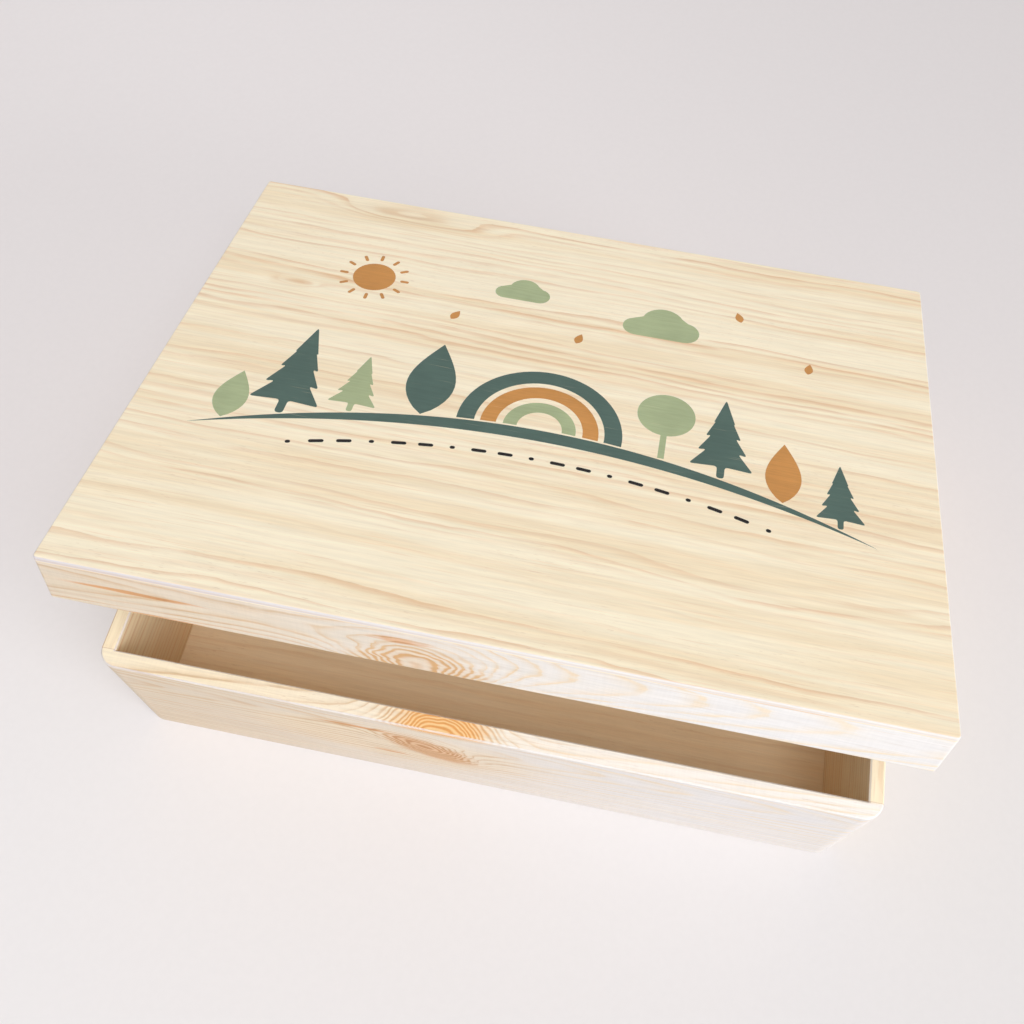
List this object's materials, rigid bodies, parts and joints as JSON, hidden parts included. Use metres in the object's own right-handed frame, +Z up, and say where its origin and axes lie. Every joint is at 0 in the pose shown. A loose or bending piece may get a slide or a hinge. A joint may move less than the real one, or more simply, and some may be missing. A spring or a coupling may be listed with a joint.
{
  "type": "keepsake box",
  "caption": "Shallow rectangular pine box for papers and keepsakes, with rounded upright corners, a let-in base and a framed lid on butt hinges along the back, standing a little ajar.",
  "frame": {"origin": "centre of the underside, on the surface that the box stands on", "axes": "+X to the right, +Y to the hinged back, +Z up; the front faces -Y"},
  "size_m": [0.4, 0.3068, 0.1934],
  "materials": {
    "pine": "bare sanded pine",
    "plywood": "bare sanded pine plywood",
    "brass": "satin brass plate",
    "steel": "bright drawn steel"
  },
  "bodies": {
    "box": {"front_board": "pine", "back_board": "pine", "left_board": "pine", "right_board": "pine", "base_panel": "plywood", "corner_pins": "steel", "base_brads": "steel", "left_hinge_body_leaf": "brass", "right_hinge_body_leaf": "brass", "left_hinge_pin": "steel", "right_hinge_pin": "steel", "body_hinge_screws": "brass"},
    "lid": {"lid_front_rail": "pine", "lid_back_rail": "pine", "lid_left_rail": "pine", "lid_right_rail": "pine", "lid_panel": "plywood", "lid_corner_pins": "steel", "left_hinge_lid_leaf": "brass", "right_hinge_lid_leaf": "brass", "lid_hinge_screws": "brass"}
  },
  "joints": [
    {"name": "lid_hinge", "type": "hinge", "parent": "box", "child": "lid", "pos_m": [0, 0.1523, 0.0952], "axis": [-1, 0, 0], "range_deg": [-13.2, 166.8]}
  ]
}
